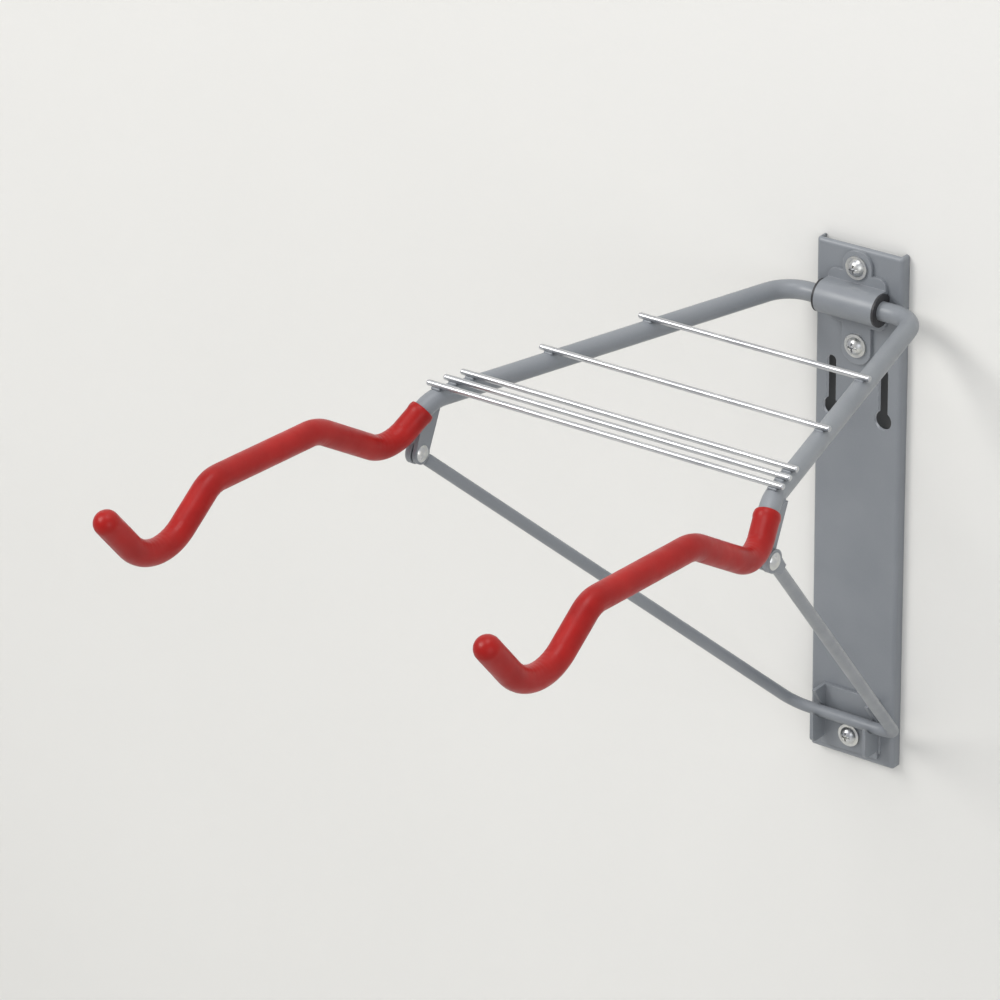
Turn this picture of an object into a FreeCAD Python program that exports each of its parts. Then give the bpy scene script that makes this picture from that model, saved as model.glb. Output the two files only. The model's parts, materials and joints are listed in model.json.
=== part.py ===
"""Folding wall rack for two bicycles: a wall plate, a hinged tube frame with two cradles on
each arm, shelf wires between the arms and a V-shaped support brace under them.

Millimetres. +Z is up, +X is to the right along the wall and -Y points out of the wall.
The origin is on the back face of the wall plate, midway between its top and bottom wall screws.
"""

import FreeCAD, Part

import math
import os

V = FreeCAD.Vector

# Wall plate: a shallow pressed channel, open towards the wall.
PLATE_WIDTH = 66.0
PLATE_HEIGHT = 367.0
PLATE_DEPTH = 8.0
SHEET = 2.5
PLATE_TOP = 181.0
PLATE_EDGE_RADIUS = 3.0
PLATE_CORNER_RADIUS = 2.0
FACE_Y = -PLATE_DEPTH

# Keyhole slots beside the saddle, for hanging the plate before it is screwed down.
KEYHOLE_X = 20.0
KEYHOLE_SEAT_Z = 98.0
KEYHOLE_ENTRY_Z = 65.0
KEYHOLE_SLOT_RADIUS = 3.5
KEYHOLE_ENTRY_RADIUS = 6.5

# Wall screws, all on the centre line so that they reach one timber stud.
SCREW_HEIGHTS = (168.0, 114.0, -168.0)
SCREW_RADIUS = 3.0
THREAD_RADIUS = 2.7
SCREW_LENGTH = 60.0
SCREW_POINT_LENGTH = 6.0
SCREW_POINT_RADIUS = 0.6
SCREW_HOLE_RADIUS = 3.4
SCREW_HEAD_RADIUS = 6.0
SCREW_HEAD_HEIGHT = 4.0
RECESS_DEPTH = 2.2
RECESS_LENGTH = 6.4
RECESS_WIDTH = 1.3
WASHER_RADIUS = 8.0
WASHER_THICKNESS = 1.5

# Hinge: the middle of the tube frame turns in two bushes under a folded saddle.
HINGE_Y = -17.0
HINGE_Z = 146.0
TUBE_RADIUS = 6.35
TUBE_WALL = 1.5
RUNNING_FIT = 0.05
PRESS_GAP = 0.02
BUSH_RADIUS = 8.5
BUSH_LENGTH = 15.0
BUSH_COLLAR = 1.5
BUSH_COLLAR_RADIUS = 11.0
SADDLE_HALF_WIDTH = 22.0
SADDLE_SHEET = 2.5
TONGUE_HALF_WIDTH = 11.0
SADDLE_TOP = 179.0
SADDLE_BOTTOM = 101.0
SHOULDER = 7.0

# Arm centre line on the right side: corners as (x, y, z) with the bend radius at each.
ARM_SPACING = 276.0
ARM_X = ARM_SPACING / 2
ARM_CORNERS = (
    (V(49.0, HINGE_Y, HINGE_Z), 22.0),
    (V(126.0, -291.0, HINGE_Z), 24.0),
    (V(136.5, -323.5, 119.5), 26.0),
    (V(ARM_X, -388.0, 157.5), 34.0),
    (V(ARM_X, -487.0, 161.5), 22.0),
    (V(ARM_X, -540.0, 123.0), 36.0),
)
ARM_TIP = V(ARM_X - 1.0, -578.0, 168.0)

# Soft sleeves from the inner cradle to the tip of each arm.
SLEEVE_RADIUS = 8.2
SLEEVE_SETBACK = 9.5
TIP_LENGTH = 3.0
END_PLUG_LENGTH = 12.0
LUG_SLIT_GAP = 0.3

# Shelf wires laid across the top of the arms.
WIRE_RADIUS = 2.0
WIRE_PLACES = (-127.0, -203.0, -262.0, -274.5, -287.0)
WIRE_OVERHANG = 1.0

# Support brace: one bent rod with a pressed eye at each end and a cross bar at the foot.
ROD_RADIUS = 4.0
PIVOT = V(133.0, -300.0, 112.0)
FOOT = V(40.0, -16.0, -153.5)
FOOT_BEND_RADIUS = 16.0
EYE_RADIUS = 7.5
EYE_THICKNESS = 4.0
EYE_NECK = 12.5
EYE_NECK_OVERLAP = 1.0
EYE_NECK_ROOT = 6.0
EYE_NECK_END = 3.2
LUG_THICKNESS = 3.0
LUG_RADIUS = 7.0
LUG_ROOT_Y = -288.0
LUG_FLARE = 2.0
RIVET_RADIUS = 3.0
RIVET_HEAD_RADIUS = 5.5
RIVET_HEAD_HEIGHT = 2.4
SPACER_THICKNESS = 1.0
SPACER_RADIUS = 6.5
RIVET_PLAY = 0.1

# Foot bracket: two ears with open notches that the cross bar rests in.
BRACKET_HALF_WIDTH = 22.0
BRACKET_TOP = -136.0
BRACKET_BOTTOM = -180.0
BRACKET_SHEET = 2.5
EAR_REACH = 17.0
EAR_CORNER_RADIUS = 4.0
NOTCH_ANGLE = 46.5
NOTCH_GAP = 0.35
NOTCH_MOUTH = 30.0
NOTCH_FLARE = 4.0
EAR_LIFT = 6.0

PARTS = "parts"
SIDES = (("left", -1), ("right", 1))


def save(shape, name):
    shape.exportStep(os.path.join(PARTS, name + ".step"))
    print(name, "solids", len(shape.Solids), "valid", shape.isValid(), "volume", round(shape.Volume, 1))


def mirrored(shape, side):
    return shape.mirror(V(0, 0, 0), V(1, 0, 0)) if side < 0 else shape


def along_y(radius, y_from, y_to, x, z):
    return Part.makeCylinder(radius, abs(y_to - y_from), V(x, min(y_from, y_to), z), V(0, 1, 0))


def along_x(radius, x_from, x_to, y, z):
    return Part.makeCylinder(radius, x_to - x_from, V(x_from, y, z), V(1, 0, 0))


def box(low, high):
    return Part.makeBox(high.x - low.x, high.y - low.y, high.z - low.z, low)


def bent_path(start, corners, end):
    """A wire of straight runs joined by tangent arcs at the corners."""
    points = [start] + [corner for corner, radius in corners] + [end]
    edges = []
    here = start
    for before, (corner, radius), after in zip(points, corners, points[2:]):
        inward = (before - corner).normalize()
        outward = (after - corner).normalize()
        half = inward.getAngle(outward) / 2
        reach = radius / math.tan(half)
        first = corner + inward * reach
        last = corner + outward * reach
        bisector = (inward + outward).normalize()
        middle = corner + bisector * (radius / math.sin(half) - radius)
        if (first - here).Length > 1e-6:
            edges.append(Part.LineSegment(here, first).toShape())
        edges.append(Part.Arc(first, middle, last).toShape())
        here = last
    edges.append(Part.LineSegment(here, end).toShape())
    return Part.Wire(edges)


def swept(path, radius):
    start = path.Edges[0].valueAt(path.Edges[0].FirstParameter)
    tangent = path.Edges[0].tangentAt(path.Edges[0].FirstParameter)
    ring = Part.Wire(Part.makeCircle(radius, start, tangent))
    return path.makePipeShell([ring], True, False)


def arm_path(start):
    return bent_path(start, ARM_CORNERS, ARM_TIP)


def sleeve_path(tip):
    before, after = ARM_CORNERS[1][0], ARM_CORNERS[2][0]
    start = before + (after - before).normalize() * SLEEVE_SETBACK
    return bent_path(start, ARM_CORNERS[2:], tip)


def frame_path():
    left = [(V(-corner.x, corner.y, corner.z), radius) for corner, radius in reversed(ARM_CORNERS)]
    return bent_path(V(-ARM_TIP.x, ARM_TIP.y, ARM_TIP.z), left + list(ARM_CORNERS), ARM_TIP)


def tip_direction():
    last_corner = ARM_CORNERS[-1][0]
    return (ARM_TIP - last_corner).normalize()


def keyhole(x):
    front = FACE_Y - 1
    entry = along_y(KEYHOLE_ENTRY_RADIUS, front, 1, x, KEYHOLE_ENTRY_Z)
    seat = along_y(KEYHOLE_SLOT_RADIUS, front, 1, x, KEYHOLE_SEAT_Z)
    slot = box(
        V(x - KEYHOLE_SLOT_RADIUS, front, KEYHOLE_ENTRY_Z),
        V(x + KEYHOLE_SLOT_RADIUS, 1, KEYHOLE_SEAT_Z),
    )
    return entry.fuse([seat, slot])


def fillet_where(shape, radius, keep):
    return shape.makeFillet(radius, [edge for edge in shape.Edges if keep(edge)])


def is_line_along(edge, axis):
    if len(edge.Vertexes) != 2:
        return False
    span = edge.Vertexes[1].Point - edge.Vertexes[0].Point
    return abs(abs(span.dot(axis)) - span.Length) < 1e-6 and span.Length > 1


def wall_plate():
    half = PLATE_WIDTH / 2
    bottom = PLATE_TOP - PLATE_HEIGHT
    blank = box(V(-half, FACE_Y, bottom), V(half, 0, PLATE_TOP))
    blank = fillet_where(blank, PLATE_CORNER_RADIUS, lambda e: is_line_along(e, V(0, 1, 0)))
    front = [
        edge
        for edge in blank.Edges
        if edge.BoundBox.YMax < FACE_Y + 0.01 and abs(edge.CenterOfMass.x) > half - 1
        and edge.BoundBox.ZLength > PLATE_HEIGHT / 2
    ]
    blank = blank.makeFillet(PLATE_EDGE_RADIUS, front)
    hollow = box(V(-half + SHEET, FACE_Y + SHEET, bottom - 1), V(half - SHEET, 1, PLATE_TOP + 1))
    plate = blank.cut(hollow)
    cutters = [keyhole(x) for x in (-KEYHOLE_X, KEYHOLE_X)]
    cutters += [along_y(SCREW_HOLE_RADIUS, FACE_Y - 1, 1, 0, z) for z in SCREW_HEIGHTS]
    return plate.cut(cutters).removeSplitter()


def pivot_saddle():
    """Hat-shaped strap: an upper and a lower tongue on the plate and an arch over the bushes."""
    inner = BUSH_RADIUS
    outer = BUSH_RADIUS + SADDLE_SHEET
    width = 2 * SADDLE_HALF_WIDTH
    arch = along_x(outer, -SADDLE_HALF_WIDTH, SADDLE_HALF_WIDTH, HINGE_Y, HINGE_Z)
    cheeks = box(
        V(-SADDLE_HALF_WIDTH, HINGE_Y, HINGE_Z - outer), V(SADDLE_HALF_WIDTH, FACE_Y, HINGE_Z + outer)
    )
    shoulders = box(
        V(-SADDLE_HALF_WIDTH, FACE_Y - SADDLE_SHEET, HINGE_Z - outer - SHOULDER),
        V(SADDLE_HALF_WIDTH, FACE_Y, HINGE_Z + outer + SHOULDER),
    )
    shoulders = fillet_where(shoulders, SHOULDER - 1, lambda e: is_line_along(e, V(0, 1, 0)))
    tongues = box(
        V(-TONGUE_HALF_WIDTH, FACE_Y - SADDLE_SHEET, SADDLE_BOTTOM),
        V(TONGUE_HALF_WIDTH, FACE_Y, SADDLE_TOP),
    )
    tongues = fillet_where(tongues, TONGUE_HALF_WIDTH - 1, lambda e: is_line_along(e, V(0, 1, 0)))
    hollow = along_x(inner, -width, width, HINGE_Y, HINGE_Z)
    throat = box(V(-width, HINGE_Y, HINGE_Z - inner), V(width, FACE_Y + 1, HINGE_Z + inner))
    behind = box(V(-width, FACE_Y, HINGE_Z - 2 * outer), V(width, 0, HINGE_Z + 2 * outer))
    holes = [along_y(SCREW_HOLE_RADIUS, FACE_Y - 10, 1, 0, z) for z in SCREW_HEIGHTS[:2]]
    body = arch.fuse([cheeks, shoulders, tongues])
    return body.cut([hollow, throat, behind] + holes).removeSplitter()


def pivot_bush(side):
    """Flanged half of the bearing, with its collar against the saddle's end."""
    outer_end = SADDLE_HALF_WIDTH + BUSH_COLLAR
    inner_end = SADDLE_HALF_WIDTH - BUSH_LENGTH
    sleeve = along_x(BUSH_RADIUS - PRESS_GAP, inner_end, outer_end, HINGE_Y, HINGE_Z)
    collar = along_x(BUSH_COLLAR_RADIUS, SADDLE_HALF_WIDTH, outer_end, HINGE_Y, HINGE_Z)
    flat = box(V(0, FACE_Y, HINGE_Z - 20), V(outer_end + 1, 5, HINGE_Z + 20))
    bore = along_x(TUBE_RADIUS + RUNNING_FIT, 0, outer_end + 1, HINGE_Y, HINGE_Z)
    return mirrored(sleeve.fuse(collar).cut([flat, bore]).removeSplitter(), side)


def screw_seat(z):
    """Y of the surface under a screw's washer."""
    stack = SADDLE_SHEET if z > 0 else BRACKET_SHEET
    return FACE_Y - stack


def wall_screw(z):
    """Round-headed lag screw, with its thread as a plain shank from the wall inwards."""
    seat = screw_seat(z) - WASHER_THICKNESS
    crown = SCREW_HEAD_RADIUS ** 2 / (2 * SCREW_HEAD_HEIGHT) + SCREW_HEAD_HEIGHT / 2
    ball = Part.makeSphere(crown, V(0, seat - SCREW_HEAD_HEIGHT + crown, z))
    head = ball.common(along_y(SCREW_HEAD_RADIUS + 1, seat - SCREW_HEAD_HEIGHT - 1, seat, 0, z))
    shank = along_y(SCREW_RADIUS, seat, 0, 0, z)
    thread_end = seat + SCREW_LENGTH - SCREW_POINT_LENGTH
    thread = along_y(THREAD_RADIUS, 0, thread_end, 0, z)
    point = Part.makeCone(
        THREAD_RADIUS, SCREW_POINT_RADIUS, SCREW_POINT_LENGTH, V(0, thread_end, z), V(0, 1, 0)
    )
    top = seat - SCREW_HEAD_HEIGHT
    reach = RECESS_LENGTH / 2
    half = RECESS_WIDTH / 2
    upright = box(V(-half, top - 1, z - reach), V(half, top + RECESS_DEPTH, z + reach))
    level = box(V(-reach, top - 1, z - half), V(reach, top + RECESS_DEPTH, z + half))
    return head.fuse([shank, thread, point]).cut([upright, level]).removeSplitter()


def wall_washer(z):
    seat = screw_seat(z)
    disc = along_y(WASHER_RADIUS, seat - WASHER_THICKNESS, seat, 0, z)
    return disc.cut(along_y(SCREW_HOLE_RADIUS, seat - 10, seat + 1, 0, z))


def arm_frame():
    path = frame_path()
    return swept(path, TUBE_RADIUS).cut(swept(path, TUBE_RADIUS - TUBE_WALL))


def lug_blank(gap):
    """Tab from the tube down to the brace pivot, thickened on all sides by a gap."""
    thickness = LUG_THICKNESS + 2 * gap
    x_low = PIVOT.x - EYE_THICKNESS / 2 - SPACER_THICKNESS - LUG_THICKNESS - gap
    root = V(x_low, LUG_ROOT_Y, HINGE_Z - 4.0)
    foot = V(x_low, PIVOT.y, PIVOT.z)
    radius = LUG_RADIUS + gap
    outline = [
        V(x_low, foot.y - radius, foot.z),
        V(x_low, root.y - radius - LUG_FLARE, root.z),
        V(x_low, root.y + radius + LUG_FLARE, root.z),
        V(x_low, foot.y + radius, foot.z),
    ]
    tab = Part.Face(Part.makePolygon(outline + [outline[0]])).extrude(V(thickness, 0, 0))
    round_end = along_x(radius, x_low, x_low + thickness, foot.y, foot.z)
    return tab.fuse(round_end)


def brace_lug(side):
    tube = swept(arm_path(V(0, HINGE_Y, HINGE_Z)), TUBE_RADIUS)
    hole = along_x(RIVET_RADIUS, 0, ARM_SPACING, PIVOT.y, PIVOT.z)
    return mirrored(lug_blank(0).cut([tube, hole]).removeSplitter(), side)


def sleeve(side):
    tip = ARM_TIP + tip_direction() * TIP_LENGTH
    outside = swept(sleeve_path(tip), SLEEVE_RADIUS)
    dome = Part.makeSphere(SLEEVE_RADIUS, tip)
    inside = swept(sleeve_path(ARM_TIP), TUBE_RADIUS + PRESS_GAP)
    shape = outside.fuse(dome).cut([inside, lug_blank(LUG_SLIT_GAP)])
    return mirrored(shape.removeSplitter(), side)


def end_plug(side):
    """Stopper pushed into the open end of the tube, inside the sleeve's tip."""
    direction = tip_direction()
    radius = TUBE_RADIUS - TUBE_WALL - PRESS_GAP
    inner_end = ARM_TIP - direction * END_PLUG_LENGTH
    body = Part.makeCylinder(radius, END_PLUG_LENGTH, inner_end, direction)
    return mirrored(body, side)


def arm_x_at(y):
    """Half distance between the arms on their straight splayed run."""
    near, far = ARM_CORNERS[0][0], ARM_CORNERS[1][0]
    return near.x + (far.x - near.x) * (y - near.y) / (far.y - near.y)


def shelf_wire(y):
    reach = arm_x_at(y) + TUBE_RADIUS + WIRE_OVERHANG
    top = HINGE_Z + TUBE_RADIUS + WIRE_RADIUS
    wire = along_x(WIRE_RADIUS, -reach, reach, y, top)
    rims = [edge for edge in wire.Edges if edge.Curve.TypeId == "Part::GeomCircle"]
    return wire.makeFillet(WIRE_RADIUS * 0.6, rims)


def support_brace():
    """V-shaped rod: eye, leg, cross bar, leg, eye."""
    corners = [(V(-FOOT.x, FOOT.y, FOOT.z), FOOT_BEND_RADIUS), (FOOT, FOOT_BEND_RADIUS)]
    leg = (FOOT - PIVOT).normalize()
    start = PIVOT + leg * EYE_NECK
    rod = swept(bent_path(V(-start.x, start.y, start.z), corners, start), ROD_RADIUS)
    pieces = [rod]
    for side in (-1, 1):
        pieces.append(mirrored(brace_eye(leg), side))
    holes = [mirrored(eye_hole(), side) for side in (-1, 1)]
    return pieces[0].fuse(pieces[1:]).cut(holes).removeSplitter()


def eye_hole():
    return along_x(RIVET_RADIUS + RUNNING_FIT, PIVOT.x - 20, PIVOT.x + 20, PIVOT.y, PIVOT.z)


def brace_eye(leg):
    """Pressed flat eye, with a neck that widens back into the round rod."""
    low = PIVOT.x - EYE_THICKNESS / 2
    disc = along_x(EYE_RADIUS, low, low + EYE_THICKNESS, PIVOT.y, PIVOT.z)
    flat_leg = V(0, leg.y, leg.z).normalize()
    across = V(0, -flat_leg.z, flat_leg.y)
    centre = V(low, PIVOT.y, PIVOT.z)
    end = centre + flat_leg * (EYE_NECK + EYE_NECK_OVERLAP)
    corners = [
        centre + across * EYE_NECK_ROOT,
        end + across * EYE_NECK_END,
        end - across * EYE_NECK_END,
        centre - across * EYE_NECK_ROOT,
    ]
    neck_plate = Part.Face(Part.makePolygon(corners + [corners[0]])).extrude(V(EYE_THICKNESS, 0, 0))
    joint = Part.makeSphere(ROD_RADIUS, PIVOT + leg * EYE_NECK)
    return disc.fuse([neck_plate, joint])


def brace_rivet(side):
    outer = PIVOT.x + EYE_THICKNESS / 2
    inner = PIVOT.x - EYE_THICKNESS / 2 - SPACER_THICKNESS - LUG_THICKNESS
    shank = along_x(RIVET_RADIUS, inner, outer + RIVET_PLAY, PIVOT.y, PIVOT.z)
    crown = RIVET_HEAD_RADIUS ** 2 / (2 * RIVET_HEAD_HEIGHT) + RIVET_HEAD_HEIGHT / 2
    heads = []
    for face, way in ((outer + RIVET_PLAY, 1), (inner, -1)):
        ball = Part.makeSphere(crown, V(face + way * (RIVET_HEAD_HEIGHT - crown), PIVOT.y, PIVOT.z))
        near, far = sorted((face, face + way * (RIVET_HEAD_HEIGHT + 1)))
        heads.append(ball.common(along_x(RIVET_HEAD_RADIUS + 1, near, far, PIVOT.y, PIVOT.z)))
    return mirrored(shank.fuse(heads).removeSplitter(), side)


def rivet_spacer():
    """Thin plastic ring between the lug and the eye."""
    face = PIVOT.x - EYE_THICKNESS / 2
    ring = along_x(SPACER_RADIUS, face - SPACER_THICKNESS, face - RIVET_PLAY, PIVOT.y, PIVOT.z)
    return ring.cut(along_x(RIVET_RADIUS + PRESS_GAP, face - 10, face + 10, PIVOT.y, PIVOT.z))


def notch():
    """Open slot that lets the cross bar leave upwards and outwards."""
    angle = math.radians(NOTCH_ANGLE)
    out = V(0, -math.cos(angle), math.sin(angle))
    across = V(0, math.sin(angle), math.cos(angle))
    radius = ROD_RADIUS + NOTCH_GAP
    seat = V(-50, FOOT.y, FOOT.z)
    wide = radius + NOTCH_FLARE
    outline = [
        seat + across * radius,
        seat + out * NOTCH_MOUTH + across * wide,
        seat + out * NOTCH_MOUTH - across * wide,
        seat - across * radius,
    ]
    slot = Part.Face(Part.makePolygon(outline + [outline[0]])).extrude(V(100, 0, 0))
    return slot.fuse(along_x(radius, -50, 50, FOOT.y, FOOT.z))


def foot_bracket():
    half = BRACKET_HALF_WIDTH
    front = FACE_Y - EAR_REACH
    base = box(V(-half, FACE_Y - BRACKET_SHEET, BRACKET_BOTTOM), V(half, FACE_Y, BRACKET_TOP))
    ear_bottom = BRACKET_BOTTOM + EAR_LIFT
    ear = box(V(half - BRACKET_SHEET, front, ear_bottom), V(half, FACE_Y, BRACKET_TOP))
    ear = fillet_where(
        ear, EAR_CORNER_RADIUS, lambda e: is_line_along(e, V(1, 0, 0)) and e.BoundBox.YMax < front + 0.01
    )
    shape = base.fuse([ear, mirrored(ear, -1)])
    hole = along_y(SCREW_HOLE_RADIUS, front, 1, 0, SCREW_HEIGHTS[2])
    return shape.cut([notch(), hole]).removeSplitter()


def main():
    os.makedirs(PARTS, exist_ok=True)
    save(wall_plate(), "wall_plate")
    save(pivot_saddle(), "pivot_saddle")
    save(foot_bracket(), "foot_bracket")
    save(Part.makeCompound([wall_screw(z) for z in SCREW_HEIGHTS]), "wall_screws")
    save(Part.makeCompound([wall_washer(z) for z in SCREW_HEIGHTS]), "wall_washers")
    save(arm_frame(), "arm_frame")
    save(support_brace(), "support_brace")
    for name, side in SIDES:
        save(pivot_bush(side), "pivot_bush_" + name)
        save(sleeve(side), "arm_sleeve_" + name)
        save(end_plug(side), "tube_plug_" + name)
        save(brace_lug(side), "brace_lug_" + name)
        save(brace_rivet(side), "brace_rivet_" + name)
        save(mirrored(rivet_spacer(), side), "rivet_spacer_" + name)
    for number, y in enumerate(WIRE_PLACES, 1):
        save(shelf_wire(y), f"shelf_wire_{number}")


main()
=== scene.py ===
"""Looks of the folding wall rack for two bicycles. Metres; -Y points out of the wall, +Z is up."""

import json
import math

import bpy
from mathutils import Matrix, Vector, noise


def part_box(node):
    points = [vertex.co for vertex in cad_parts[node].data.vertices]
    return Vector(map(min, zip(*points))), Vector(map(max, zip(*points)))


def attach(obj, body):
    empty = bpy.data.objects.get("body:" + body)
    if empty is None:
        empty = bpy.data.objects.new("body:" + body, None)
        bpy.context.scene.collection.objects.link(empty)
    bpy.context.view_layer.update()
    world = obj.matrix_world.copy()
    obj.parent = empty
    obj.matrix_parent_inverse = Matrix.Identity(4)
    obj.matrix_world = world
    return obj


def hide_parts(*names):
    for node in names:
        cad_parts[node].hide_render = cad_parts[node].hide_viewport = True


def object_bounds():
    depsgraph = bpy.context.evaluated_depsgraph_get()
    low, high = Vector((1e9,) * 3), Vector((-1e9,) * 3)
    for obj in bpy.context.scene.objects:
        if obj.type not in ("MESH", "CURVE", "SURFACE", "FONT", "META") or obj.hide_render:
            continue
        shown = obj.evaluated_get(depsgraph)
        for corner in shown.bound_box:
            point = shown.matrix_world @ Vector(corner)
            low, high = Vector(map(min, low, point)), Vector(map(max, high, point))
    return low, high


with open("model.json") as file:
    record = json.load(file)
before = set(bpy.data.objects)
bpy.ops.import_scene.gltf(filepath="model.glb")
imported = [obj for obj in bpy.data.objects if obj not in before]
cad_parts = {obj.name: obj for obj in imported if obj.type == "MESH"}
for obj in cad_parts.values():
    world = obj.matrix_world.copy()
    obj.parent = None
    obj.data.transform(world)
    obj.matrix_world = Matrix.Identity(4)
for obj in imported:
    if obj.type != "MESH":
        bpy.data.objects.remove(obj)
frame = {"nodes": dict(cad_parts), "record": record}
cad_low, cad_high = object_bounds()

MM = 0.001

# The arm's centre line on the right side: corner and bend radius, in millimetres.
ARM_CORNERS = (
    ((49.0, -17.0, 146.0), 22.0),
    ((126.0, -291.0, 146.0), 24.0),
    ((136.5, -323.5, 119.5), 26.0),
    ((138.0, -388.0, 157.5), 34.0),
    ((138.0, -487.0, 161.5), 22.0),
    ((138.0, -540.0, 123.0), 36.0),
)
ARM_TIP = (137.0, -578.0, 168.0)
TUBE_RADIUS = 6.35
SLEEVE_RADIUS = 8.2
SLEEVE_BORE = 6.38
SLEEVE_SETBACK = 9.5
SLEEVE_TIP = 3.0
WIRE_RADIUS = 2.0
WIRE_COUNT = 5
PLATE_FACE = -8.0

# Fineness of the sleeves and their small unevennesses. Lengths are in millimetres.
SLEEVE_SIDES = 56
SLEEVE_STEP = 1.4
DOME_RINGS = 9
MOUTH_RINGS = 6
BORE_RING_EVERY = 6
LIP_HEIGHT = 0.45
LIP_PLACE = 2.2
LIP_WIDTH = 1.3
CREASE_DEPTH = 0.28
CREASE_SPACING = 4.6
SEAM_DEPTH = 0.16
SEAM_WIDTH = 0.55
SEAM_ANGLE = math.pi
UNEVEN_DEPTH = 0.12
UNEVEN_SCALE = 0.06
UNEVEN_SPREAD = 9
UNEVEN_SHIFT = 7
FULL_CREASE_RADIUS = 24.0

# Width and height of each kind of weld bead, then where it runs. Lengths are in millimetres.
WIRE_WELD = (2.0, 0.9)
LUG_WELD = (2.6, 1.3)
BRACKET_WELD = (3.0, 1.5)
WIRE_WELD_REACH = 3.4
WIRE_WELD_SINK = 0.2
WIRE_WELD_OFFSET_IN_RADII = 0.8
WIRE_WELD_POINTS = 15
LUG_WELD_START = -295.0
LUG_WELD_LENGTH = 12.5
LUG_WELD_STEPS = 24
BRACKET_WELD_INSET = 3
BRACKET_WELD_POINTS = 61

# Where the arm starts to bend down into its inner cradle, and how steeply.
BEND_START = -285.0
BEND_SLOPE = 0.55

# Shape of a bead. Its taper and the spacing of its scallops are in widths of the bead.
WELD_SIDES = 10
WELD_TAPER = 0.6
WELD_END = 0.02
SCALLOP_SPACING = 0.45
SCALLOP_DEPTH = 0.10
WELD_UNEVENNESS = 0.08
WELD_NOISE_SCALE = 0.8

SIDES = (("left", -1), ("right", 1))


# ---------------------------------------------------------------- materials

# The Mix node has sockets of the same names for each type of data. These are the colour ones.
MIX_FIRST = 6
MIX_SECOND = 7
MIX_RESULT = 2


class Nodes:
    """Short way to build a material's node tree."""

    def __init__(self, name):
        self.material = bpy.data.materials.new(name)
        self.material.use_nodes = True
        self.tree = self.material.node_tree
        self.shader = self.tree.nodes["Principled BSDF"]
        self.place = self.add("ShaderNodeTexCoord").outputs["Object"]

    def add(self, kind, **inputs):
        node = self.tree.nodes.new(kind)
        for key, value in inputs.items():
            self.put(node, key.replace("_", " "), value)
        return node

    def put(self, node, key, value):
        if isinstance(value, bpy.types.NodeSocket):
            self.tree.links.new(value, node.inputs[key])
        else:
            node.inputs[key].default_value = value

    def noise(self, scale, detail=3.0, stretch=None, roughness=0.5):
        vector = self.place
        if stretch is not None:
            mapping = self.add("ShaderNodeMapping", Vector=vector, Scale=stretch)
            vector = mapping.outputs["Vector"]
        node = self.add(
            "ShaderNodeTexNoise", Vector=vector, Scale=scale, Detail=detail, Roughness=roughness
        )
        return node.outputs["Fac"]

    def range(self, value, low, high, new_low, new_high):
        node = self.add(
            "ShaderNodeMapRange",
            Value=value, From_Min=low, From_Max=high, To_Min=new_low, To_Max=new_high,
        )
        return node.outputs["Result"]

    def math(self, operation, first, second):
        node = self.tree.nodes.new("ShaderNodeMath")
        node.operation = operation
        self.put(node, 0, first)
        self.put(node, 1, second)
        return node.outputs[0]

    def mix(self, factor, first, second):
        node = self.tree.nodes.new("ShaderNodeMix")
        node.data_type = "RGBA"
        self.put(node, 0, factor)
        self.put(node, MIX_FIRST, first)
        self.put(node, MIX_SECOND, second)
        return node.outputs[MIX_RESULT]

    def edges(self, radius):
        """About 1 on sharp edges and 0 on flat or gently curved ground."""
        bevel = self.tree.nodes.new("ShaderNodeBevel")
        bevel.samples = 4
        self.put(bevel, "Radius", radius)
        geometry = self.tree.nodes.new("ShaderNodeNewGeometry")
        dot = self.tree.nodes.new("ShaderNodeVectorMath")
        dot.operation = "DOT_PRODUCT"
        self.put(dot, 0, bevel.outputs["Normal"])
        self.put(dot, 1, geometry.outputs["Normal"])
        return self.range(dot.outputs["Value"], 0.995, 0.85, 0.0, 1.0)

    def rounded(self, radius):
        """Shading normal with sharp edges eased to a radius."""
        bevel = self.tree.nodes.new("ShaderNodeBevel")
        bevel.samples = 6
        self.put(bevel, "Radius", radius)
        return bevel.outputs["Normal"]

    def bump(self, height, distance, strength=1.0, under=None):
        node = self.add("ShaderNodeBump", Height=height, Distance=distance, Strength=strength)
        if under is not None:
            self.put(node, "Normal", under)
        return node.outputs["Normal"]

    def finish(self, color, roughness, normal, **fixed):
        self.put(self.shader, "Base Color", color)
        self.put(self.shader, "Roughness", roughness)
        self.put(self.shader, "Normal", normal)
        for key, value in fixed.items():
            self.shader.inputs[key.replace("_", " ")].default_value = value
        return self.material


def grey_paint():
    """Satin blue-grey powder coat: orange peel, slow colour drift, and lighter edges that are
    partly thin-paint wear and partly a painted highlight.
    """
    n = Nodes("grey_paint")
    drift = n.range(n.noise(22.0, 2.0), 0.3, 0.7, 0.0, 1.0)
    ground = n.mix(drift, (0.200, 0.215, 0.234, 1), (0.226, 0.241, 0.260, 1))
    specks = n.range(n.noise(2600.0, 1.0), 0.66, 0.74, 0.0, 0.35)
    ground = n.mix(specks, ground, (0.36, 0.375, 0.40, 1))
    patchy = n.range(n.noise(260.0, 4.0), 0.42, 0.62, 0.0, 0.55)
    # Edges lightened in noise patches: partly thin-paint wear, partly a painted edge highlight.
    edge_wear_and_highlight = n.math("MULTIPLY", n.edges(0.9 * MM), patchy)
    ground = n.mix(edge_wear_and_highlight, ground, (0.40, 0.415, 0.44, 1))
    rough = n.range(n.noise(70.0, 3.0), 0.3, 0.7, 0.34, 0.46)
    peel = n.bump(n.noise(520.0, 2.0), 0.10 * MM, 0.55, n.rounded(0.7 * MM))
    grain = n.bump(n.noise(2400.0, 1.0), 0.03 * MM, 0.5, peel)
    return n.finish(ground, rough, grain, Specular_IOR_Level=0.5)


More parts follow.
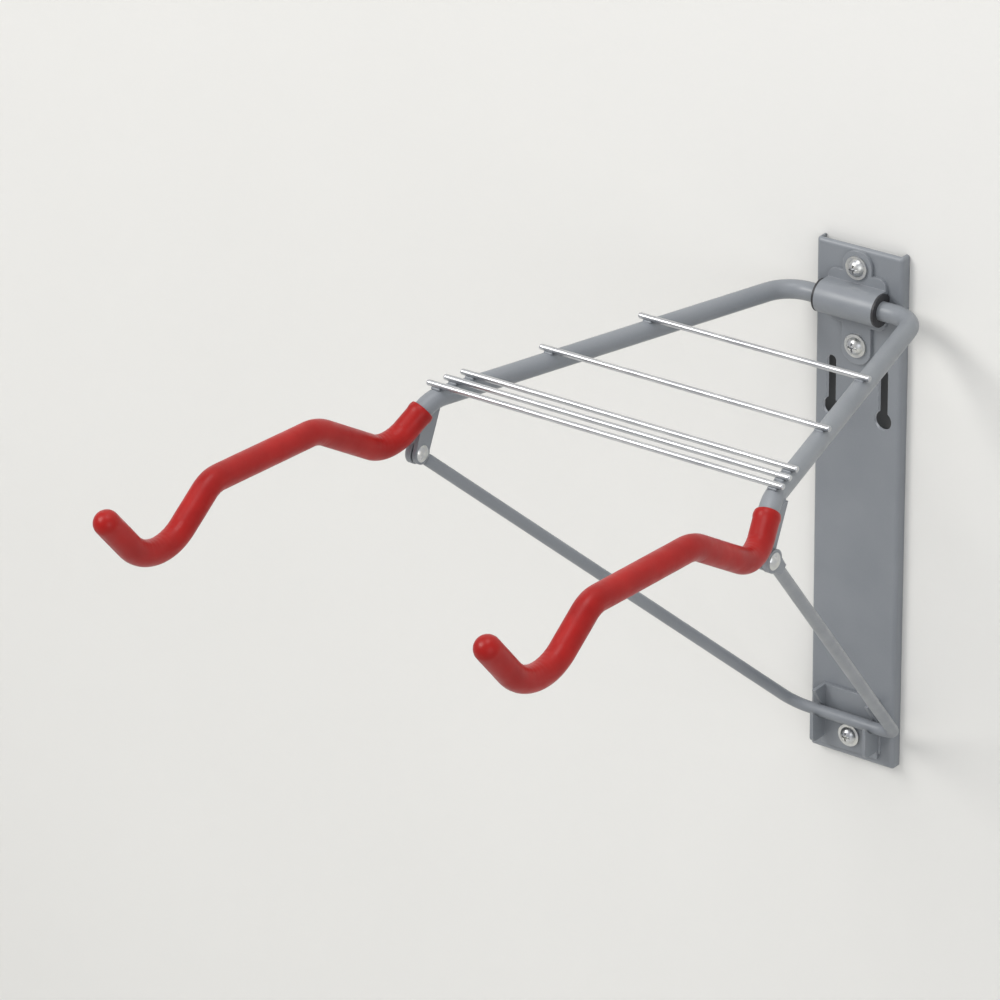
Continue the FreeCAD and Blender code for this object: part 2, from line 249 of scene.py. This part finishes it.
def red_vinyl():
    """Soft red sleeve: faint mottling, a satin skin and a little dust in patches."""
    n = Nodes("red_vinyl")
    mottle = n.range(n.noise(45.0, 4.0), 0.32, 0.68, 0.0, 1.0)
    ground = n.mix(mottle, (0.275, 0.004, 0.003, 1), (0.350, 0.007, 0.005, 1))
    dust = n.range(n.noise(160.0, 6.0, roughness=0.65), 0.58, 0.78, 0.0, 0.08)
    ground = n.mix(dust, ground, (0.36, 0.06, 0.045, 1))
    rough = n.range(n.noise(120.0, 4.0), 0.3, 0.7, 0.30, 0.48)
    lumps = n.bump(n.noise(110.0, 2.0), 0.35 * MM, 0.4)
    skin = n.bump(n.noise(1500.0, 3.0), 0.05 * MM, 0.6, lumps)
    return n.finish(
        ground, rough, skin, Specular_IOR_Level=0.25, Coat_Weight=0.03, Coat_Roughness=0.25
    )


def bright_wire():
    """Zinc-plated drawn wire: fine lines along its length."""
    n = Nodes("bright_wire")
    cloud = n.range(n.noise(60.0, 3.0), 0.3, 0.7, 0.0, 1.0)
    ground = n.mix(cloud, (0.46, 0.47, 0.49, 1), (0.60, 0.61, 0.62, 1))
    lines = n.noise(900.0, 4.0, stretch=(0.03, 1.0, 1.0))
    rough = n.range(lines, 0.3, 0.7, 0.24, 0.42)
    drawn = n.bump(lines, 0.03 * MM, 0.5)
    return n.finish(ground, rough, drawn, Metallic=1.0)


def zinc():
    """Zinc-plated hardware with slightly cloudy passivation."""
    n = Nodes("zinc")
    cloud = n.range(n.noise(240.0, 4.0), 0.35, 0.65, 0.0, 1.0)
    ground = n.mix(cloud, (0.52, 0.53, 0.55, 1), (0.66, 0.66, 0.63, 1))
    rough = n.range(n.noise(420.0, 3.0), 0.3, 0.7, 0.26, 0.44)
    return n.finish(ground, rough, n.bump(n.noise(1800.0, 3.0), 0.03 * MM, 0.5), Metallic=1.0)


def weld_metal():
    """Painted-over weld: a coat like the frame's, lumpier and a little glossier."""
    n = Nodes("weld_paint")
    drift = n.range(n.noise(300.0, 3.0), 0.3, 0.7, 0.0, 1.0)
    ground = n.mix(drift, (0.186, 0.200, 0.218, 1), (0.226, 0.241, 0.260, 1))
    rough = n.range(n.noise(500.0, 3.0), 0.3, 0.7, 0.28, 0.44)
    return n.finish(ground, rough, n.bump(n.noise(900.0, 3.0), 0.12 * MM, 0.6))


def black_nylon():
    """Moulded nylon with a fine satin grain."""
    n = Nodes("bush_plastic")
    drift = n.range(n.noise(150.0, 3.0), 0.3, 0.7, 0.0, 1.0)
    ground = n.mix(drift, (0.022, 0.022, 0.024, 1), (0.036, 0.036, 0.04, 1))
    rough = n.range(n.noise(600.0, 3.0), 0.3, 0.7, 0.42, 0.60)
    return n.finish(ground, rough, n.bump(n.noise(2200.0, 2.0), 0.04 * MM, 0.6))


PALE_PAINT = ((0.74, 0.735, 0.71, 1), (0.77, 0.765, 0.74, 1))
# Painted shade: dark paint for the wall behind the plate, standing in for the shadow the plate
# casts there.
PAINTED_SHADE_COLORS = ((0.10, 0.10, 0.098, 1), (0.12, 0.12, 0.117, 1))


def wall_paint(name, colors, one_sided):
    """Rolled wall paint. A one-sided wall lets views from behind see the rack."""
    n = Nodes(name)
    drift = n.range(n.noise(1.5, 3.0), 0.3, 0.7, 0.0, 1.0)
    ground = n.mix(drift, *colors)
    n.finish(ground, 0.75, n.bump(n.noise(260.0, 3.0), 0.25 * MM, 0.35), Specular_IOR_Level=0.2)
    if one_sided:
        geometry = n.tree.nodes.new("ShaderNodeNewGeometry")
        clear = n.tree.nodes.new("ShaderNodeBsdfTransparent")
        choose = n.tree.nodes.new("ShaderNodeMixShader")
        n.put(choose, 0, geometry.outputs["Backfacing"])
        n.put(choose, 1, n.shader.outputs[0])
        n.put(choose, 2, clear.outputs[0])
        n.put(n.tree.nodes["Material Output"], "Surface", choose.outputs[0])
    return n.material


# ---------------------------------------------------------------- geometry

def mesh_object(name, vertices, faces, material, smooth=True):
    mesh = bpy.data.meshes.new(name)
    mesh.from_pydata([tuple(v) for v in vertices], [], faces)
    mesh.validate()
    if smooth:
        mesh.shade_smooth()
    mesh.materials.append(material)
    obj = bpy.data.objects.new(name, mesh)
    bpy.context.scene.collection.objects.link(obj)
    return obj


def rounded_path(start, corners, end, step):
    """Points about a step apart along straight runs and tangent arcs, in millimetres."""
    corners = [(Vector(corner), radius) for corner, radius in corners]
    points = [Vector(start)] + [corner for corner, radius in corners] + [Vector(end)]
    path = []
    here = points[0]
    for before, (corner, radius), after in zip(points, corners, points[2:]):
        inward = (before - corner).normalized()
        outward = (after - corner).normalized()
        half = inward.angle(outward) / 2
        reach = radius / math.tan(half)
        first = corner + inward * reach
        centre = corner + (inward + outward).normalized() * (radius / math.sin(half))
        path += straight(here, first, step)
        turn = math.pi - 2 * half
        count = max(3, round(radius * turn / step))
        arm = first - centre
        axis = inward.cross(outward).normalized()
        path += [centre + Matrix.Rotation(-turn * i / count, 3, axis) @ arm for i in range(count)]
        here = corner + outward * reach
    path += straight(here, points[-1], step)
    return path + [points[-1]]


def straight(start, end, step):
    count = max(1, round((end - start).length / step))
    return [start.lerp(end, i / count) for i in range(count)]


def carried_frames(path):
    """A tangent and two cross directions at each point, carried along with little twist."""
    frames = []
    side = Vector((0, 0, 1))
    for i, point in enumerate(path):
        tangent = (path[min(i + 1, len(path) - 1)] - path[max(i - 1, 0)]).normalized()
        side = (side - tangent * side.dot(tangent)).normalized()
        frames.append((point, tangent, side, tangent.cross(side)))
    return frames


def ring(frame_at, radius_at, count):
    point, _, up, side = frame_at
    loop = []
    for k in range(count):
        angle = 2 * math.pi * k / count
        reach = radius_at(angle)
        place = point + up * (math.cos(angle) * reach) + side * (math.sin(angle) * reach)
        loop.append(place * MM)
    return loop


def skin(rings, close_start, close_end):
    """Quads between equal rings, with a fan to one point at each end that is asked for."""
    count = len(rings[0])
    vertices = [v for loop in rings for v in loop]
    faces = []
    for i in range(len(rings) - 1):
        for k in range(count):
            a, b = i * count + k, i * count + (k + 1) % count
            faces.append((a, b, b + count, a + count))
    last = (len(rings) - 1) * count
    for wanted, first, flip in ((close_start, 0, True), (close_end, last, False)):
        if wanted:
            rim = [Vector(v) for v in vertices[first:first + count]]
            vertices.append(sum(rim, Vector()) / count)
            tip = len(vertices) - 1
            for k in range(count):
                a, b = first + k, first + (k + 1) % count
                faces.append((b, a, tip) if flip else (a, b, tip))
    return vertices, faces


def on_side(obj, side):
    """The right-hand piece, mirrored if it is for the left side."""
    if side < 0:
        obj.data.transform(Matrix.Scale(-1, 4, (1, 0, 0)))
        obj.data.flip_normals()
    return obj


def sleeve(name, side, material):
    """Soft sleeve with a rolled mouth, a seam underneath and slight creases in its bends."""
    before, after = Vector(ARM_CORNERS[1][0]), Vector(ARM_CORNERS[2][0])
    start = before + (after - before).normalized() * SLEEVE_SETBACK
    tip = Vector(ARM_TIP)
    direction = (tip - Vector(ARM_CORNERS[-1][0])).normalized()
    path = rounded_path(start, ARM_CORNERS[2:], tip + direction * SLEEVE_TIP, SLEEVE_STEP)
    frames = carried_frames(path)
    turns = [Vector()] + [
        (ahead + behind - 2 * here) / SLEEVE_STEP ** 2
        for behind, here, ahead in zip(path, path[1:], path[2:])
    ] + [Vector()]
    rings = []
    travelled = 0.0
    for i, at in enumerate(frames):
        travelled += (path[i] - path[max(i - 1, 0)]).length
        rings.append(ring(at, sleeve_radius(at, turns[i], travelled, side), SLEEVE_SIDES))
    last = frames[-1]
    for i in range(1, DOME_RINGS):
        angle = math.pi / 2 * i / DOME_RINGS
        point = last[0] + direction * (SLEEVE_RADIUS * math.sin(angle))
        reach = SLEEVE_RADIUS * math.cos(angle)
        rings.append(ring((point,) + last[1:], lambda a, r=reach: r, SLEEVE_SIDES))
    mouth = mouth_rings(frames[0])
    bore = [
        ring(at, lambda a: SLEEVE_BORE, SLEEVE_SIDES)
        for at in frames[BORE_RING_EVERY::BORE_RING_EVERY]
    ]
    vertices, faces = skin(bore[::-1] + mouth + rings, True, True)
    return on_side(mesh_object(name, vertices, faces, material), side)


def sleeve_radius(at, turn, travelled, side):
    """Radius round the sleeve at one place, with its lip, seam, creases and unevenness."""
    point, _, up, across = at
    bend = min(1.0, turn.length * FULL_CREASE_RADIUS)
    inner = turn.normalized() if turn.length > 1e-9 else Vector()
    lip = LIP_HEIGHT * math.exp(-((travelled - LIP_PLACE) / LIP_WIDTH) ** 2)

    def radius(angle):
        outward = up * math.cos(angle) + across * math.sin(angle)
        facing = max(0.0, outward.dot(inner))
        wave = 0.5 + 0.5 * math.cos(2 * math.pi * travelled / CREASE_SPACING)
        crease = CREASE_DEPTH * bend * facing ** 2 * wave
        away = math.atan2(math.sin(angle - SEAM_ANGLE), math.cos(angle - SEAM_ANGLE))
        seam = SEAM_DEPTH * math.exp(-(away * SLEEVE_RADIUS / SEAM_WIDTH) ** 2)
        shift = Vector((side * UNEVEN_SHIFT, 0, 0))
        spot = (point + outward * UNEVEN_SPREAD) * UNEVEN_SCALE + shift
        uneven = UNEVEN_DEPTH * (0.5 + 0.5 * noise.noise(spot))
        return SLEEVE_RADIUS - crease - seam - uneven + lip
    return radius


def mouth_rings(at):
    """Rounded edge from the bore out to the sleeve's skin."""
    point, tangent, up, across = at
    loops = []
    wall = SLEEVE_RADIUS - SLEEVE_BORE
    for i in range(MOUTH_RINGS):
        angle = math.pi * i / MOUTH_RINGS
        reach = SLEEVE_BORE + wall / 2 * (1 - math.cos(angle))
        back = wall / 2 * math.sin(angle)
        rim = (point - tangent * back, tangent, up, across)
        loops.append(ring(rim, lambda a, r=reach: r, SLEEVE_SIDES))
    return loops


def weld_bead(name, path, size, normal, material, body):
    """Weld along a path: overlapping scallops, domed across, tapering to both ends."""
    width, height = size
    length = sum((b - a).length for a, b in zip(path, path[1:]))
    travelled = 0.0
    rings = []
    for i, point in enumerate(path):
        tangent = (path[min(i + 1, len(path) - 1)] - path[max(i - 1, 0)]).normalized()
        up = (normal - tangent * normal.dot(tangent)).normalized()
        side = tangent.cross(up)
        travelled += (point - path[max(i - 1, 0)]).length
        end = min(travelled, length - travelled)
        taper = 1 - min(1.0, end / (width * WELD_TAPER))
        swell = math.sqrt(max(WELD_END, 1 - taper ** 2))
        scallop = SCALLOP_DEPTH * math.cos(2 * math.pi * travelled / (width * SCALLOP_SPACING))
        ripple = 1 + scallop + WELD_UNEVENNESS * noise.noise(point * WELD_NOISE_SCALE)
        loop = []
        for k in range(WELD_SIDES):
            angle = 2 * math.pi * k / WELD_SIDES
            reach_side = math.cos(angle) * width / 2 * swell * ripple
            reach_up = math.sin(angle) * height * swell * ripple
            loop.append((point + side * reach_side + up * reach_up) * MM)
        rings.append(loop)
    vertices, faces = skin(rings, True, True)
    obj = mesh_object(name, vertices, faces, material)
    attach(obj, body)


def between(start, end, count):
    start, end = Vector(start), Vector(end)
    return [start.lerp(end, i / (count - 1)) for i in range(count)]


def arm_centre(y):
    """Centre of the right arm's straight splayed run at one distance from the wall."""
    near, far = Vector(ARM_CORNERS[0][0]), Vector(ARM_CORNERS[1][0])
    return near.lerp(far, (y - near.y) / (far.y - near.y))


# ---------------------------------------------------------------- pieces

def finish_cad_nodes(materials):
    """Gives every CAD node the material of its slot."""
    slots = {part["node"]: part["material_slot"] for part in frame["record"]["subparts"]}
    for node, obj in frame["nodes"].items():
        obj.data.materials.clear()
        obj.data.materials.append(materials[slots[node]])


def add_sleeves(materials):
    for word, side in SIDES:
        piece = sleeve("sleeve_" + word, side, materials["red_vinyl"])
        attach(piece, "arms")
        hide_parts("arm_sleeve_" + word)


def add_wire_welds(material):
    """Two short beads where each shelf wire crosses an arm."""
    for number in range(1, WIRE_COUNT + 1):
        low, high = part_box(f"shelf_wire_{number}")
        wire_y = (low.y + high.y) / 2 / MM
        centre = arm_centre(wire_y)
        top = centre.z + TUBE_RADIUS
        for word, side in SIDES:
            for place, step in (("near", 1), ("far", -1)):
                y = wire_y + step * WIRE_RADIUS * WIRE_WELD_OFFSET_IN_RADII
                z = top - WIRE_WELD_SINK
                start = (side * (centre.x - WIRE_WELD_REACH), y, z)
                end = (side * (centre.x + WIRE_WELD_REACH), y, z)
                path = between(start, end, WIRE_WELD_POINTS)
                name = f"weld_wire_{number}_{place}_{word}"
                weld_bead(name, path, WIRE_WELD, Vector((0, step, 1)), material, "arms")


def add_lug_welds(material):
    """A bead along each face of the brace lugs where they meet the tube."""
    for word, side in SIDES:
        low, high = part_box("brace_lug_" + word)
        faces = (low.x / MM, high.x / MM)
        for face in faces:
            path = []
            for i in range(LUG_WELD_STEPS + 1):
                y = LUG_WELD_START + LUG_WELD_LENGTH * i / LUG_WELD_STEPS
                centre = arm_centre(max(y, BEND_START))
                centre.z -= max(0.0, BEND_START - y) * BEND_SLOPE
                offset = abs(face) - centre.x
                z = centre.z - math.sqrt(max(1.0, TUBE_RADIUS ** 2 - offset ** 2))
                path.append(Vector((face, y, z)))
            outward = math.copysign(1, face - sum(faces) / 2)
            place = "outer" if outward * side > 0 else "inner"
            name = f"weld_lug_{place}_{word}"
            weld_bead(name, path, LUG_WELD, Vector((outward, 0, -1)), material, "arms")


def add_bracket_welds(material):
    """Upright beads that hold the foot bracket to the plate."""
    low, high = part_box("foot_bracket")
    for word, x in (("left", low.x / MM), ("right", high.x / MM)):
        start = (x, PLATE_FACE, low.z / MM + BRACKET_WELD_INSET)
        end = (x, PLATE_FACE, high.z / MM - BRACKET_WELD_INSET)
        path = between(start, end, BRACKET_WELD_POINTS)
        side = math.copysign(1, x)
        normal = Vector((side, -1, 0))
        weld_bead("weld_bracket_" + word, path, BRACKET_WELD, normal, material, "wall_side")


# ---------------------------------------------------------------- stage, light and camera

WALL_SIZE = 7.0
WALL_GAP = 0.3 * MM
PATCH_INSET = 3 * MM
FLOOR_DROP = 0.95
FLOOR_REACH = 1.6

LIGHTS = (
    ("key", (-1.5, -2.4, 2.2), 1.6, 62.0, (1.0, 0.985, 0.96)),
    ("fill", (2.6, -2.0, 0.9), 2.2, 22.0, (0.96, 0.98, 1.0)),
    ("top", (0.2, -0.7, 2.6), 1.4, 20.0, (1.0, 1.0, 1.0)),
    ("back", (1.2, 2.6, 1.4), 2.0, 45.0, (1.0, 1.0, 1.0)),
)
LIGHT_AIM = (0.0, -0.3, 0.05)
SKY_COLOR = (0.95, 0.96, 1.0, 1)
SKY_STRENGTH = 0.55


def rectangle(x_low, x_high, y, z_low, z_high):
    return [(x_low, y, z_low), (x_high, y, z_low), (x_high, y, z_high), (x_low, y, z_high)]


def add_stage():
    """Wall and floor. The dark patch behind the plate is painted shade, standing in for the
    plate's shadow on the wall, and it lets light through to the plate's hollow back.
    """
    half = WALL_SIZE / 2
    floor_z = cad_low.z - FLOOR_DROP
    plate_low, plate_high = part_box("wall_plate")
    patch = rectangle(
        plate_low.x + PATCH_INSET, plate_high.x - PATCH_INSET, WALL_GAP,
        plate_low.z + PATCH_INSET, plate_high.z - PATCH_INSET,
    )
    around = rectangle(-half, half, WALL_GAP, floor_z, half)
    faces = [(k, (k + 1) % 4, (k + 1) % 4 + 4, k + 4) for k in range(4)]
    pale = wall_paint("wall_paint", PALE_PAINT, True)
    # The patch behind the plate gets painted shade rather than being darkened by the plate's real
    # shadow.
    painted_shade = wall_paint("wall_painted_shade", PAINTED_SHADE_COLORS, True)
    mesh_object("wall", around + patch, faces, pale, False)
    behind_plate = mesh_object("wall_patch", patch, [(0, 1, 2, 3)], painted_shade, False)
    behind_plate.visible_shadow = False
    behind_plate.visible_diffuse = False
    behind_plate.visible_glossy = False
    front = -half * FLOOR_REACH
    floor = [
        (-half, front, floor_z), (half, front, floor_z),
        (half, half, floor_z), (-half, half, floor_z),
    ]
    floor_paint = wall_paint("floor_paint", PALE_PAINT, False)
    mesh_object("floor", floor, [(0, 1, 2, 3)], floor_paint, False)


def area_light(name, place, size, power, color):
    data = bpy.data.lights.new(name, "AREA")
    data.shape = "DISK"
    data.size = size
    data.energy = power
    data.color = color
    obj = bpy.data.objects.new(name, data)
    obj.location = place
    look = Vector(LIGHT_AIM) - Vector(place)
    obj.rotation_euler = look.to_track_quat("-Z", "Y").to_euler()
    bpy.context.scene.collection.objects.link(obj)


def add_lights():
    for name, place, size, power, color in LIGHTS:
        area_light(name, place, size, power, color)
    world = bpy.data.worlds.new("studio")
    world.use_nodes = True
    background = world.node_tree.nodes["Background"]
    background.inputs["Color"].default_value = SKY_COLOR
    background.inputs["Strength"].default_value = SKY_STRENGTH
    bpy.context.scene.world = world
    bpy.context.scene.view_settings.view_transform = "Standard"


CAMERA_PLACE = (1.669, -2.565, 1.4366)
CAMERA_AIM = (-0.070, -0.297, 0.095)
CAMERA_LENS = 186.0
CAMERA_ROLL = math.radians(-0.886)


def add_camera():
    """Long lens from above and to the right, aimed near the middle of the rack."""
    data = bpy.data.cameras.new("camera")
    data.lens = CAMERA_LENS
    data.sensor_width = 36.0
    camera = bpy.data.objects.new("camera", data)
    camera.location = CAMERA_PLACE
    look = (Vector(CAMERA_AIM) - Vector(CAMERA_PLACE)).to_track_quat("-Z", "Y")
    camera.rotation_mode = "QUATERNION"
    camera.rotation_quaternion = look @ Matrix.Rotation(CAMERA_ROLL, 3, "Z").to_quaternion()
    bpy.context.scene.collection.objects.link(camera)
    bpy.context.scene.camera = camera


def main():
    materials = {
        "grey_paint": grey_paint(),
        "red_vinyl": red_vinyl(),
        "bright_wire": bright_wire(),
        "zinc": zinc(),
        "bush_plastic": black_nylon(),
    }
    weld = weld_metal()
    add_camera()
    finish_cad_nodes(materials)
    add_sleeves(materials)
    add_wire_welds(weld)
    add_lug_welds(weld)
    add_bracket_welds(weld)
    add_stage()
    add_lights()


main()
